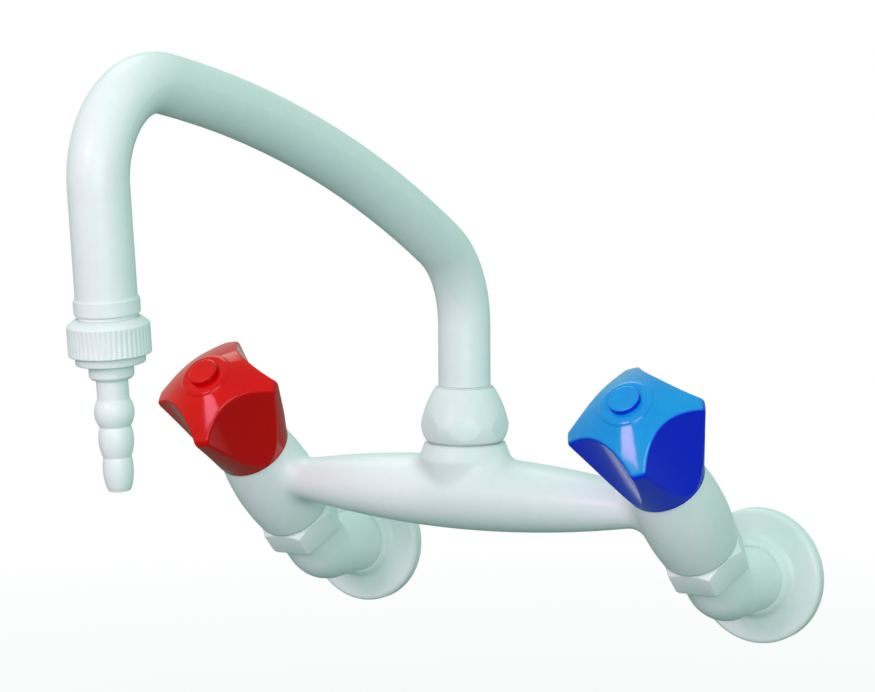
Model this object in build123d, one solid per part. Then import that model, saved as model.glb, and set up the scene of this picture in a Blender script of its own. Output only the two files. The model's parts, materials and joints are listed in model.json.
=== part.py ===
from build123d import *
import os
from math import atan2, cos, degrees, pi, radians, sin, sqrt, tan

# Wall-mounted laboratory mixer tap: two inlets with round wall flanges, a cast bridge body with two
# slanted valves, a swivelling swan-neck spout, and a hose nozzle held by a knurled screw collar.
# Millimetres. +X runs along the bridge to the cold side, +Y to the wall, +Z up. The origin is on
# the wall, midway between the two inlet axes.
# Threads are plain cylinders at the thread's nominal size.

# Layout
inlet_spacing = 200.0
body_projection = 81.0
bridge_height = 42.0
valve_slope = 45.0
sides = {"hot": -1, "cold": 1}

# Clearances
thread_gap = 0.1
running_gap = 0.1
slide_gap = 0.3
seal_gap = 0.05
assembly_gap = 0.3
flange_gap = 0.05
cap_gap = 2.0

# Bridge bar, half sizes, and its middle boss, heights above the crossing of the valve axes
bar_drop = 2.2
bar_end_height = 5.0
bar_end_depth = 6.0
bar_middle_height = 15.6
bar_middle_depth = 19.0
bar_stations = (-1.0, -0.5, 0.0, 0.5, 1.0)
bar_bore_radius = 6.0
boss_radius = 17.2
boss_rise = 19.3
boss_flare_radius = 19.4
boss_flare_height = 6.4
boss_edge_round = 0.5
boss_blend = 7.0
boss_thread_radius = 14.5
boss_thread_length = 8.4
boss_bore_radius = 12.1
boss_bore_floor = 5.0
boss_passage_radius = 8.0

# Valve bodies, heights along the valve axis, up towards the knob
valve_top = 17.3
valve_top_radius = 16.0
valve_belly_radius = 18.2
valve_belly_height = -4.0
valve_bottom = -26.7
valve_bottom_radius = 16.9
valve_edge_round = 1.0
valve_blend = 8.0
bonnet_thread_radius = 10.48
bonnet_seat = 6.8
chamber_radius = 9.5
chamber_floor = -7.0
seat_height = 1.5
seat_wall = 1.7
seat_bore_radius = 5.5
seat_bore_length = 4.0
inlet_bore_radius = 7.5

# Union between the valve body's stub and the wall elbow
stub_radius = 10.5
stub_length = 7.0
stub_groove_depth = 0.8
ring_width = 2.5
ring_thickness = 1.2
ring_split = 2.0
union_nut_flats = 32.0
union_nut_crown = 2.4
union_nut_length = 13.8
union_nut_land = 3.0
union_nut_bevel_width = 3.2
union_nut_bevel_height = 2.4
union_nut_foot_chamfer = 0.8
union_nut_turn = 30.0
union_gasket_thickness = 2.0
union_gasket_bore_radius = 8.2
elbow_radius = 14.0
elbow_bore_radius = 8.0
elbow_bend_radius = 15.0
tail_thread_radius = 10.48
tail_length = 14.0
tail_shoulder = 1.0

# Round wall flange, depths out from the wall
flange_radius = 29.3
flange_rim = 3.4
flange_face = 5.6
flange_lip = 2.0
flange_inner_radius = 19.0
flange_inner_face = 6.8
flange_hub_radius = 16.3
flange_hub_depth = 10.5

# Bonnet, heights along the valve axis
bonnet_flats = 24.0
bonnet_hexagon_height = 6.0
bonnet_gasket_thickness = 0.8
bonnet_gasket_radius = 13.4
bonnet_neck_radius = 7.5
bonnet_neck_height = 6.0

# Spindle, its seals and its clip
shaft_radius = 5.0
shaft_floor = 18.0
spindle_collar_radius = 6.1
spindle_collar_height = 1.7
spindle_thread_radius = 4.0
spindle_thread_length = 10.6
spindle_square = 7.0
spindle_square_length = 14.5
spindle_seal_heights = (21.0, 25.0)
spindle_groove_depth = 1.1
spindle_groove_width = 2.2
clip_thickness = 0.7
clip_groove_depth = 0.8
clip_reach = 1.8
clip_split = 3.0

# Plunger and washer, closed on the seat at rest
thread_pitch = 1.75
opening_turns = 2.5
plunger_radius = 7.0
plunger_flats = 12.0
plunger_head_radius = 7.6
plunger_head_height = 2.5
plunger_pin_radius = 2.2
washer_thickness = 3.0
washer_radius = 7.4

# Four-lobed knob, heights above its skirt
knob_skirt_gap = 0.6
knob_skirt_radius = 16.9
knob_skirt_height = 0.8
knob_lobes = 4
knob_lobe_radius = 28.9
knob_lobe_height = 36.8
knob_lobe_round = 3.0
knob_crown_height = 49.4
knob_crown_bulge = 0.4
knob_crown_step_radius = 9.4
knob_crown_step_width = 2.0
knob_crown_step_drop = 1.2
knob_cavity_radius = 14.6
knob_cavity_height = 14.4
knob_socket_gap = 0.2
knob_web = 3.0
scoop_radius = 38.0
scoop_foot = 17.1
scoop_head = 18.0
scoop_edge_round = 1.6
knob_angles = {"hot": 10.5, "cold": 22.3}

# Knob screw and index cap
screw_radius = 1.65
screw_length = 13.0
screw_tap_depth = 10.5
screw_head_radius = 3.8
screw_head_height = 2.8
screw_slot_width = 1.0
screw_slot_depth = 1.4
recess_radius = 5.2
cap_radius = 6.5
cap_height = 2.4
cap_round = 0.8

# Spout tube, in its own upright plane, turned a little about the swivel from straight out
spout_turn = -1.1
tube_radius = 11.0
tube_wall = 1.5
riser_top = 111.6
low_bend_radius = 40.0
low_bend_angle = 59.3
run_length = 198.5
run_angle = 20.1
high_bend_radius = 33.0
high_bend_angle = 105.2
outlet_leg = 38.6

# Sleeve on the tube's foot, heights above its lower end, and the slip rings
sleeve_foot_gap = 0.6
sleeve_step = 11.0
sleeve_bore_radius = 8.6
sleeve_flange_radius = 13.6
sleeve_flange_height = 2.6
sleeve_seal_heights = (3.0, 7.5)
sleeve_groove_depth = 1.3
sleeve_groove_width = 2.4
slip_ring_thickness = 0.9

# Domed spout nut, heights above its foot
nut_gap = 0.8
nut_height = 22.7
nut_foot_radius = 16.2
nut_belly_radius = 18.5
nut_belly_height = 7.0
nut_crown_radius = 12.5
nut_crown_round = 1.0
nut_shoulder_bulge = 0.8
nut_foot_bulge = 0.6
nut_flats = 34.4

# Ferrule on the tube's end, distances down from its top
ferrule_radius = 11.75
ferrule_band = 6.0
ferrule_round = 1.0
ferrule_socket = 5.0
ferrule_thread_radius = 10.5
ferrule_length = 16.0
ferrule_bore_radius = 8.0

# Knurled screw collar
collar_start = 7.0
collar_mouth_radius = 11.6
collar_radius = 14.7
collar_slope = 2.4
collar_band = 13.1
collar_step_radius = 12.4
collar_step = 3.2
collar_floor = 2.8
collar_ribs = 48
collar_rib_depth = 0.45

# Gasket and hose nozzle, distances down from the ferrule's top
nozzle_gasket_thickness = 1.8
nozzle_gasket_bore_radius = 5.0
nozzle_head_radius = 10.0
nozzle_body_radius = 8.0
nozzle_body_end = 28.8
nozzle_body_chamfer = 1.0
nozzle_neck_radius = 5.65
nozzle_neck_end = 36.0
nozzle_bulges = ((7.1, 40.6), (6.25, 51.2), (5.45, 62.0))
nozzle_waists = ((5.5, 45.8), (5.0, 56.8), (4.6, 67.4))
nozzle_tip_radius = 3.9
nozzle_length = 69.0
nozzle_bore_radius = 3.0

# Values worked out from the sizes above
cosine = cos(radians(valve_slope))
sine = sin(radians(valve_slope))
bar_height = bridge_height - bar_drop
boss_top = bridge_height + boss_rise
boss_thread_top = boss_top + boss_thread_length
boss_bore_foot = bridge_height + boss_bore_floor
stub_end = valve_bottom - stub_length
nut_top = valve_bottom - assembly_gap
nut_shoulder = nut_top - union_nut_land
ring_foot = nut_shoulder - ring_thickness
elbow_start = stub_end - union_gasket_thickness
seat_top = chamber_floor + seat_height
seat_outer_radius = seat_bore_radius + seat_wall
washer_top = seat_top + washer_thickness
bonnet_base = valve_top + bonnet_gasket_thickness
bonnet_neck_foot = bonnet_base + bonnet_hexagon_height
bonnet_end = bonnet_neck_foot + bonnet_neck_height
lift = thread_pitch * opening_turns
spindle_collar_foot = shaft_floor - running_gap - spindle_collar_height
spindle_end = spindle_collar_foot - spindle_thread_length
plunger_open_top = spindle_collar_foot - assembly_gap
plunger_top = plunger_open_top - lift
plunger_floor = spindle_end - assembly_gap - lift
clip_foot = bonnet_end + assembly_gap
square_foot = clip_foot + clip_thickness + assembly_gap
spindle_top = square_foot + spindle_square_length
knob_foot = valve_top + knob_skirt_gap
cavity_top = knob_foot + knob_cavity_height
socket_top = spindle_top + assembly_gap
web_top = socket_top + knob_web
knob_top = knob_foot + knob_crown_height
sleeve_foot = boss_bore_foot + sleeve_foot_gap
sleeve_radius = boss_bore_radius - running_gap
tube_foot = sleeve_foot + sleeve_step
sleeve_flange_foot = boss_thread_top + slip_ring_thickness
sleeve_top = sleeve_flange_foot + sleeve_flange_height
nut_foot = boss_top + nut_gap
nut_inner_shoulder = sleeve_top + slip_ring_thickness + seal_gap
nozzle_head_foot = ferrule_length + nozzle_gasket_thickness
collar_shoulder = collar_start + collar_band
collar_end = collar_shoulder + collar_step
collar_shelf = collar_end - collar_floor


# A half section beside the Z axis. Each step is one (radius, height) point for a straight run,
# or two points for an arc that passes through the first and ends at the second.
def half_section(start, *steps):
    here = start
    edges = []
    for step in (*steps, [start]):
        points = [(radius, 0, height) for radius, height in (here, *step)]
        edges.append(Line(*points) if len(points) == 2 else ThreePointArc(*points))
        here = step[-1]
    return make_face(edges)


# A solid turned about Z from its half section
def turned(start, *steps):
    return revolve(half_section(start, *steps), Axis.Z)


# The two steps that round an outer top edge, coming up the wall
def rounded_rim(radius, height, size):
    near = size * (1 - sqrt(0.5))
    return [(radius, height - size)], [(radius - near, height - near), (radius - size, height)]


# The two steps that round an outer bottom edge, coming out along the underside
def rounded_foot(radius, height, size):
    near = size * (1 - sqrt(0.5))
    return [(radius - size, height)], [(radius - near, height + near), (radius, height + size)]


# A straight-sided ring or tube about Z
def ring(outer, inner, low, high):
    return turned((inner, low), [(outer, low)], [(outer, high)], [(inner, high)])


# A plain cylinder about Z
def rod(radius, low, high):
    return turned((0, low), [(radius, low)], [(radius, high)], [(0, high)])


# A prism about Z with regular sides, given across its flats, with a flat that faces +X
def prism(flats, count, low, high):
    outline = RegularPolygon(flats / 2, count, major_radius=False, rotation=180 / count)
    return Pos(0, 0, low) * extrude(outline, high - low)


# An o-ring that fills its groove up to the bore it seals against
def o_ring(bore, floor, height):
    section = (bore - seal_gap - floor) / 2
    return Pos(0, 0, height) * Torus(floor + section, section)


# Puts a piece drawn along the valve axis in its place on one side
def on_valve(piece, side):
    centre = (sides[side] * inlet_spacing / 2, -body_projection, bridge_height)
    return Location(centre, (valve_slope, 0, 0)) * piece


# Puts a piece drawn along the spout's swivel axis in its place
def on_swivel(piece):
    return Pos(0, -body_projection, 0) * piece


# Joins two solids and rounds the inside corner where their surfaces meet
def blended(first, second, radius):
    joined = first + second
    shells = [solid.shell() for solid in (first.solid(), second.solid())]
    seam = [edge for edge in joined.edges() if all(shell.distance_to(edge @ 0.5) < 1e-4 for shell in shells)]
    return fillet(seam, radius)


# The bridge bar, round at its ends and deeper in the middle, where it carries the boss
def bridge_bar():
    sections = []
    for station in bar_stations:
        swell = 1 - station**2
        height = bar_end_height + (bar_middle_height - bar_end_height) * swell
        depth = bar_end_depth + (bar_middle_depth - bar_end_depth) * swell
        plane = Plane((station * inlet_spacing / 2, 0, 0), x_dir=(0, 1, 0), z_dir=(1, 0, 0))
        sections.append(plane * Ellipse(depth, height))
    return Pos(0, -body_projection, bar_height) * loft(sections)


# The barrel of one valve body, solid
def valve_barrel():
    return turned(
        (0, valve_bottom),
        *rounded_foot(valve_bottom_radius, valve_bottom, valve_edge_round),
        [(valve_belly_radius, valve_belly_height), (valve_top_radius, valve_top - valve_edge_round)],
        *rounded_rim(valve_top_radius, valve_top, valve_edge_round)[1:],
        [(0, valve_top)],
    )


# The stub below the valve body, with the groove for the ring that keeps the union nut on
def valve_stub():
    groove = ring(stub_radius + 1, stub_radius - stub_groove_depth, ring_foot, nut_shoulder + running_gap)
    return rod(stub_radius, stub_end, valve_bottom + valve_edge_round) - groove


# Every bore on one valve axis: inlet, seat, chamber and bonnet thread
def valve_bores():
    passage_foot = chamber_floor - seat_bore_length
    bores = rod(inlet_bore_radius, stub_end, passage_foot)
    bores += rod(seat_bore_radius, passage_foot, seat_top)
    bores += ring(chamber_radius, seat_outer_radius, chamber_floor, seat_top)
    bores += rod(chamber_radius, seat_top, bonnet_seat)
    bores += rod(bonnet_thread_radius + thread_gap / 2, bonnet_seat, valve_top)
    return bores


# The bridge casting: bar, boss and both valve bodies, blended together, then bored
def mixer_body():
    boss = turned(
        (0, bar_height),
        [(boss_radius, bar_height)],
        [(boss_flare_radius, boss_top - boss_flare_height)],
        *rounded_rim(boss_radius, boss_top, boss_edge_round),
        [(boss_thread_radius, boss_top)],
        [(boss_thread_radius, boss_thread_top)],
        [(0, boss_thread_top)],
    )
    body = blended(bridge_bar(), on_swivel(boss), boss_blend)
    for side in sides:
        body = blended(body, on_valve(valve_barrel(), side), valve_blend)
        body += on_valve(valve_stub(), side)
    body -= on_swivel(rod(boss_bore_radius, boss_bore_foot, boss_thread_top))
    body -= on_swivel(rod(boss_passage_radius, bar_height, boss_bore_foot))
    gallery = Rot(0, 90, 0) * Cylinder(bar_bore_radius, inlet_spacing - 2 * seat_outer_radius - 1)
    body -= Pos(0, -body_projection, bar_height) * gallery
    for side in sides:
        body -= on_valve(valve_bores(), side)
    return body


# Open ring that snaps into the stub's groove and holds the union nut
def union_ring():
    inner = stub_radius - stub_groove_depth + seal_gap
    outer = inner + ring_width
    split = Box(ring_width * 4, ring_split, ring_thickness * 4)
    return ring(outer, inner, ring_foot, nut_shoulder) - Pos(outer, 0, ring_foot) * split


# Hexagon nut that hangs on the stub and screws on to the elbow
def union_nut():
    high = nut_top
    low = high - union_nut_length
    corner = union_nut_flats / 2 + union_nut_crown
    blank = turned(
        (0, low),
        [(corner - union_nut_foot_chamfer, low)],
        [(corner, low + union_nut_foot_chamfer)],
        [(corner, high - union_nut_bevel_height)],
        [(corner - union_nut_bevel_width, high)],
        [(0, high)],
    )
    nut = blank & (Rot(0, 0, union_nut_turn) * prism(union_nut_flats, 6, low, high))
    nut -= rod(stub_radius + slide_gap, nut_shoulder, high)
    return nut - rod(elbow_radius + thread_gap, low, nut_shoulder)


# Flat gasket between the stub and the elbow
def union_gasket():
    return ring(elbow_radius - slide_gap, union_gasket_bore_radius, elbow_start, stub_end)


# Cast elbow from the slanted union to the wall, with the threaded tail behind the flange
def inlet_elbow(side):
    plane = Plane((sides[side] * inlet_spacing / 2, 0, 0), x_dir=(0, 1, 0), z_dir=(1, 0, 0))
    drop = bridge_height + elbow_start * sine
    start = (-body_projection - elbow_start * cosine, drop)
    slant = drop / sine - elbow_bend_radius * tan(radians(valve_slope) / 2)
    lead = Line(start, (start[0] + slant * cosine, start[1] - slant * sine))
    bend = JernArc(lead @ 1, lead % 1, elbow_bend_radius, valve_slope)
    level = Line(bend @ 1, (-tail_shoulder, 0))
    route = plane * Curve([lead, bend, level])
    entry = Plane(route @ 0, z_dir=route % 0)
    elbow = sweep(entry * Circle(elbow_radius), path=route)
    elbow -= sweep(entry * Circle(elbow_bore_radius), path=route)
    tail = ring(tail_thread_radius, elbow_bore_radius, -tail_shoulder, tail_length)
    return elbow + plane * Rot(0, 90, 0) * tail


# Round cover flange that slides on the elbow and lies against the wall
def wall_flange(side):
    bore = elbow_radius + flange_gap
    slope = (flange_inner_face - flange_face) / (flange_radius - flange_lip - flange_inner_radius)
    hub_reach = flange_inner_radius - flange_hub_radius
    lip = (flange_radius - flange_lip * 0.3, flange_face - flange_lip * 0.4)
    flange = turned(
        (bore, 0),
        [(flange_radius, 0)],
        [(flange_radius, flange_rim)],
        [lip, (flange_radius - flange_lip, flange_face)],
        [(flange_inner_radius, flange_inner_face)],
        [
            (flange_hub_radius + hub_reach * 0.3, flange_inner_face + hub_reach * (0.3 + slope)),
            (flange_hub_radius, flange_hub_depth - 1),
        ],
        [(flange_hub_radius - 1, flange_hub_depth)],
        [(bore, flange_hub_depth)],
    )
    out = Plane((sides[side] * inlet_spacing / 2, 0, 0), x_dir=(1, 0, 0), z_dir=(0, -1, 0))
    return out * flange


# Screwed bonnet that guides the plunger and carries the spindle
def bonnet():
    body = rod(bonnet_thread_radius, bonnet_seat, bonnet_base)
    body += prism(bonnet_flats, 6, bonnet_base, bonnet_neck_foot)
    body += rod(bonnet_neck_radius, bonnet_neck_foot, bonnet_end)
    guide = rod(plunger_radius + slide_gap, bonnet_seat, plunger_open_top)
    guide &= Box(plunger_flats + 2 * slide_gap, 4 * plunger_radius, 4 * bonnet_end)
    body -= guide
    body -= rod(spindle_collar_radius + running_gap, plunger_open_top, shaft_floor)
    return body - rod(shaft_radius + running_gap, shaft_floor, bonnet_end)


# Fibre ring under the bonnet's hexagon
def bonnet_gasket():
    return ring(bonnet_gasket_radius, bonnet_thread_radius + thread_gap, valve_top, bonnet_base)


# Spindle with its lead thread, thrust collar, seal grooves, clip groove and square
def spindle():
    body = rod(spindle_thread_radius, spindle_end, spindle_collar_foot)
    body += rod(spindle_collar_radius, spindle_collar_foot, spindle_collar_foot + spindle_collar_height)
    body += rod(shaft_radius, spindle_collar_foot + spindle_collar_height, square_foot)
    body += prism(spindle_square, 4, square_foot, spindle_top)
    half = spindle_groove_width / 2
    for height in spindle_seal_heights:
        body -= ring(shaft_radius + 1, shaft_radius - spindle_groove_depth, height - half, height + half)
    groove_foot = clip_foot - seal_gap
    groove_top = clip_foot + clip_thickness + seal_gap
    body -= ring(shaft_radius + 1, shaft_radius - clip_groove_depth, groove_foot, groove_top)
    return body - rod(screw_radius + seal_gap, spindle_top - screw_tap_depth, spindle_top)


# Two o-rings in the spindle's grooves
def spindle_seals():
    floor = shaft_radius - spindle_groove_depth
    rings = [o_ring(shaft_radius + running_gap, floor, height) for height in spindle_seal_heights]
    return Compound([piece.solid() for piece in rings])


# Split clip that keeps the spindle from dropping back into the bonnet
def spindle_clip():
    inner = shaft_radius - clip_groove_depth + seal_gap
    clip = ring(shaft_radius + clip_reach, inner, clip_foot, clip_foot + clip_thickness)
    middle = Pos(shaft_radius, 0, clip_foot)
    return clip - middle * Box(2 * shaft_radius, clip_split, 4 * clip_thickness)


# Plunger that rises on the spindle's thread and is kept from turning by its flats
def valve_plunger():
    head_top = washer_top + plunger_head_height
    stem = rod(plunger_radius, head_top, plunger_top)
    stem &= Box(plunger_flats, 4 * plunger_radius, 4 * bonnet_end)
    body = stem + rod(plunger_head_radius, washer_top, head_top)
    body += rod(plunger_pin_radius, seat_top, washer_top)
    return body - rod(spindle_thread_radius + thread_gap, plunger_floor, plunger_top)


# Rubber washer on the plunger's pin
def seat_washer():
    return ring(washer_radius, plunger_pin_radius + seal_gap, seat_top, washer_top)


# Moulded knob: a turned blank with four scooped sides, hollow below and recessed above
def knob(side):
    step = (knob_crown_step_radius + knob_crown_step_width, knob_top - knob_crown_step_drop)
    rim = (knob_crown_step_radius + knob_crown_step_width / 2, knob_top - knob_crown_step_drop / 4)
    crown_height = (step[1] + knob_foot + knob_lobe_height) / 2 + knob_crown_bulge
    crown = ((step[0] + knob_lobe_radius) / 2, crown_height)
    section = half_section(
        (0, knob_foot),
        [(knob_skirt_radius, knob_foot)],
        [(knob_skirt_radius, knob_foot + knob_skirt_height)],
        [(knob_lobe_radius, knob_foot + knob_lobe_height)],
        [crown, step],
        [rim, (knob_crown_step_radius, knob_top)],
        [(0, knob_top)],
    )
    tip = section.vertices().sort_by(Axis.X)[-1]
    body = revolve(fillet(tip, knob_lobe_round), Axis.Z)
    lean = degrees(atan2(scoop_foot - scoop_head, knob_crown_height))
    scoop = Rot(0, -lean, 0) * Cylinder(scoop_radius, 4 * knob_crown_height)
    scoop = Pos(scoop_foot + scoop_radius, 0, knob_foot) * scoop
    for lobe in range(knob_lobes):
        body -= Rot(0, 0, (lobe + 0.5) * 360 / knob_lobes) * scoop
    scooped = body.faces().filter_by(GeomType.CYLINDER).sort_by(SortBy.AREA)[-knob_lobes:]
    body = fillet([edge for face in scooped for edge in face.edges()], scoop_edge_round)
    body -= rod(knob_cavity_radius, knob_foot, cavity_top)
    body -= rod(screw_radius + slide_gap, socket_top, web_top)
    body -= rod(recess_radius, web_top, knob_top)
    body = Rot(0, 0, knob_angles[side]) * body
    return body - prism(spindle_square + knob_socket_gap, 4, cavity_top, socket_top)


# Slotted screw that holds the knob on the spindle
def knob_screw():
    screw = rod(screw_radius, web_top - screw_length, web_top)
    screw += rod(screw_head_radius, web_top, web_top + screw_head_height)
    slot = Box(3 * screw_head_radius, screw_slot_width, 2 * screw_slot_depth)
    return screw - Pos(0, 0, web_top + screw_head_height) * slot


# Plain index cap that closes the knob's recess
def knob_cap():
    stem = recess_radius - seal_gap
    stem_foot = web_top + screw_head_height + cap_gap
    return turned(
        (0, stem_foot),
        [(stem, stem_foot)],
        [(stem, knob_top)],
        [(cap_radius, knob_top)],
        *rounded_rim(cap_radius, knob_top + cap_height, cap_round),
        [(0, knob_top + cap_height)],
    )


# The centreline of the spout, from its foot to the ferrule's top or a length past it
def spout_route(extra_length):
    plane = Plane((0, 0, 0), x_dir=(0, -1, 0), z_dir=(-1, 0, 0))
    riser = Line((0, tube_foot), (0, riser_top))
    low = JernArc(riser @ 1, riser % 1, low_bend_radius, -low_bend_angle)
    run = JernArc(low @ 1, low % 1, run_length / radians(run_angle), -run_angle)
    high = JernArc(run @ 1, run % 1, high_bend_radius, -high_bend_angle)
    leg = Line(high @ 1, (high @ 1) + (high % 1) * (outlet_leg + extra_length))
    return on_swivel(Rot(0, 0, spout_turn) * (plane * Curve([riser, low, run, high, leg])))


# Swan-neck spout tube
def spout_tube():
    route = spout_route(ferrule_socket)
    entry = Plane(route @ 0, z_dir=route % 0)
    tube = sweep(entry * Circle(tube_radius), path=route)
    return tube - sweep(entry * Circle(tube_radius - tube_wall), path=route)


# Brass sleeve on the tube's foot, which turns in the boss
def spout_sleeve():
    body = rod(sleeve_radius, sleeve_foot, sleeve_flange_foot)
    body += rod(sleeve_flange_radius, sleeve_flange_foot, sleeve_top)
    body -= rod(sleeve_bore_radius, sleeve_foot, tube_foot)
    body -= rod(tube_radius, tube_foot, sleeve_top)
    half = sleeve_groove_width / 2
    for height in sleeve_seal_heights:
        middle = sleeve_foot + height
        body -= ring(sleeve_radius + 1, sleeve_radius - sleeve_groove_depth, middle - half, middle + half)
    return body


# Two o-rings in the sleeve's grooves
def spout_seals():
    floor = sleeve_radius - sleeve_groove_depth
    rings = [o_ring(boss_bore_radius, floor, sleeve_foot + height) for height in sleeve_seal_heights]
    return Compound([piece.solid() for piece in rings])


# Slip ring between the boss and the sleeve's flange
def lower_slip_ring():
    return ring(sleeve_flange_radius, boss_bore_radius, boss_thread_top, sleeve_flange_foot)


# Slip ring between the sleeve's flange and the nut
def upper_slip_ring():
    return ring(sleeve_flange_radius, tube_radius + slide_gap, sleeve_top, sleeve_top + slip_ring_thickness)


# Domed nut with six shallow flats, screwed on the boss
def spout_nut():
    belly = nut_foot + nut_belly_height
    crown = nut_foot + nut_height
    shoulder = ((nut_belly_radius + nut_crown_radius) / 2, (belly + crown) / 2)
    foot = ((nut_foot_radius + nut_belly_radius) / 2, (nut_foot + belly) / 2)
    blank = turned(
        (0, nut_foot),
        [(nut_foot_radius, nut_foot)],
        [(foot[0] + nut_foot_bulge, foot[1]), (nut_belly_radius, belly)],
        [(shoulder[0] + nut_shoulder_bulge, shoulder[1]), (nut_crown_radius, crown - nut_crown_round)],
        rounded_rim(nut_crown_radius, crown, nut_crown_round)[1],
        [(0, crown)],
    )
    nut = blank & prism(nut_flats, 6, nut_foot, crown)
    nut -= rod(boss_thread_radius + thread_gap, nut_foot, nut_inner_shoulder)
    return nut - rod(tube_radius + slide_gap, nut_inner_shoulder, crown)


# Puts a piece drawn down from the ferrule's top in its place on the spout
def on_outlet(piece):
    route = spout_route(0)
    return Plane(route @ 1, x_dir=(1, 0, 0), z_dir=route % 1) * piece


# Ferrule brazed on the tube's end, with the thread for the collar
def outlet_ferrule():
    near = ferrule_round * (1 - sqrt(0.5))
    return turned(
        (tube_radius, 0),
        [(ferrule_radius - ferrule_round / 2, 0)],
        [(ferrule_radius, ferrule_round / 2)],
        [(ferrule_radius, ferrule_band - ferrule_round)],
        [(ferrule_radius - near, ferrule_band - near), (ferrule_radius - ferrule_round, ferrule_band)],
        [(ferrule_thread_radius, ferrule_band)],
        [(ferrule_thread_radius, ferrule_length)],
        [(ferrule_bore_radius, ferrule_length)],
        [(ferrule_bore_radius, ferrule_socket)],
        [(tube_radius, ferrule_socket)],
    )


# Knurled collar with a smaller step, which draws the nozzle against its gasket
def nozzle_collar():
    blank = turned(
        (0, collar_start),
        [(collar_mouth_radius, collar_start)],
        [(collar_radius, collar_start + collar_slope)],
        [(collar_radius, collar_shoulder)],
        [(collar_step_radius, collar_shoulder)],
        [(collar_step_radius, collar_end)],
        [(0, collar_end)],
    )
    corners = []
    for corner in range(2 * collar_ribs):
        angle = pi * corner / collar_ribs
        radius = collar_radius - collar_rib_depth * (corner % 2)
        corners.append((radius * cos(angle), radius * sin(angle)))
    knurl = Pos(0, 0, collar_start) * extrude(Polygon(*corners, align=None), collar_end - collar_start)
    collar = blank & knurl
    collar -= rod(ferrule_thread_radius + thread_gap, collar_start, collar_shelf)
    return collar - rod(nozzle_body_radius + slide_gap, collar_shelf, collar_end)


# Flat ring between the ferrule and the nozzle
def nozzle_gasket():
    return ring(nozzle_head_radius, nozzle_gasket_bore_radius, ferrule_length, nozzle_head_foot)


# Hose nozzle: head, body, neck and three bulges that grip a hose
def hose_nozzle():
    bulges = [[bulge, waist] for bulge, waist in zip(nozzle_bulges, nozzle_waists)]
    return turned(
        (nozzle_bore_radius, nozzle_head_foot),
        [(nozzle_head_radius, nozzle_head_foot)],
        [(nozzle_head_radius, collar_shelf - running_gap)],
        [(nozzle_body_radius, collar_shelf - running_gap)],
        [(nozzle_body_radius, nozzle_body_end - nozzle_body_chamfer)],
        [(nozzle_body_radius - nozzle_body_chamfer, nozzle_body_end)],
        [(nozzle_neck_radius, nozzle_body_end)],
        [(nozzle_neck_radius, nozzle_neck_end)],
        *bulges,
        [(nozzle_tip_radius, nozzle_length)],
        [(nozzle_bore_radius, nozzle_length)],
    )


# Every node of the tap by name
def all_pieces():
    pieces = {
        "mixer_body": mixer_body(),
        "spout_tube": spout_tube(),
        "spout_sleeve": on_swivel(spout_sleeve()),
        "spout_seals": on_swivel(spout_seals()),
        "spout_lower_slip_ring": on_swivel(lower_slip_ring()),
        "spout_upper_slip_ring": on_swivel(upper_slip_ring()),
        "spout_nut": on_swivel(spout_nut()),
        "outlet_ferrule": on_outlet(outlet_ferrule()),
        "nozzle_collar": on_outlet(nozzle_collar()),
        "nozzle_gasket": on_outlet(nozzle_gasket()),
        "hose_nozzle": on_outlet(hose_nozzle()),
    }
    for side in sides:
        pieces[f"{side}_inlet_elbow"] = inlet_elbow(side)
        pieces[f"{side}_wall_flange"] = wall_flange(side)
        on_axis = {
            "union_nut": union_nut(),
            "union_ring": union_ring(),
            "union_gasket": union_gasket(),
            "bonnet": bonnet(),
            "bonnet_gasket": bonnet_gasket(),
            "spindle": spindle(),
            "spindle_seals": spindle_seals(),
            "spindle_clip": spindle_clip(),
            "valve_plunger": valve_plunger(),
            "seat_washer": seat_washer(),
            "knob": knob(side),
            "knob_screw": knob_screw(),
            "knob_cap": knob_cap(),
        }
        for name, piece in on_axis.items():
            pieces[f"{side}_{name}"] = on_valve(piece, side)
    return pieces


os.makedirs("parts", exist_ok=True)
for name, piece in all_pieces().items():
    piece.label = name
    export_step(piece, f"parts/{name}.step")
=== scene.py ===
"""Looks of a wall-mounted laboratory mixer tap with two inlets and a swan-neck spout.

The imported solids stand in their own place. This file gives each of them a finish, models the
union nuts, the spout nut and the knurled collar anew in finer detail, and sets up the studio.
Lengths in the dataclasses are millimetres. Everything in the scene is in metres.
"""

from __future__ import annotations

import json
import logging
import math
from collections.abc import Callable
from dataclasses import dataclass, field, replace
from enum import Enum

import bmesh
import bpy
from mathutils import Matrix, Vector


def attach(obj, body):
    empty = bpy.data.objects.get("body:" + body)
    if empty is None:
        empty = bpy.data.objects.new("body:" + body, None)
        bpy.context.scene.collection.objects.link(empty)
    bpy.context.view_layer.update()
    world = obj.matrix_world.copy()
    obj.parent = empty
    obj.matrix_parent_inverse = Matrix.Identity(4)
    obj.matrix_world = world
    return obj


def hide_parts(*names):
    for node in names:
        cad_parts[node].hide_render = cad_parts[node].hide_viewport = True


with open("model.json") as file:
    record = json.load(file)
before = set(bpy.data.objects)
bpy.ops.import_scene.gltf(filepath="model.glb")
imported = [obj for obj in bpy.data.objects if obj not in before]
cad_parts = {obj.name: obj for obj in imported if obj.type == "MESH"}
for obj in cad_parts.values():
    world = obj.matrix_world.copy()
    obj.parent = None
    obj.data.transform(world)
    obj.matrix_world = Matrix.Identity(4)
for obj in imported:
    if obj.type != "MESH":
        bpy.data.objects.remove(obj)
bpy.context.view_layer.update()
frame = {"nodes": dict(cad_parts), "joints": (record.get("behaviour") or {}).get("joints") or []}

log = logging.getLogger("mixer_tap")

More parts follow.
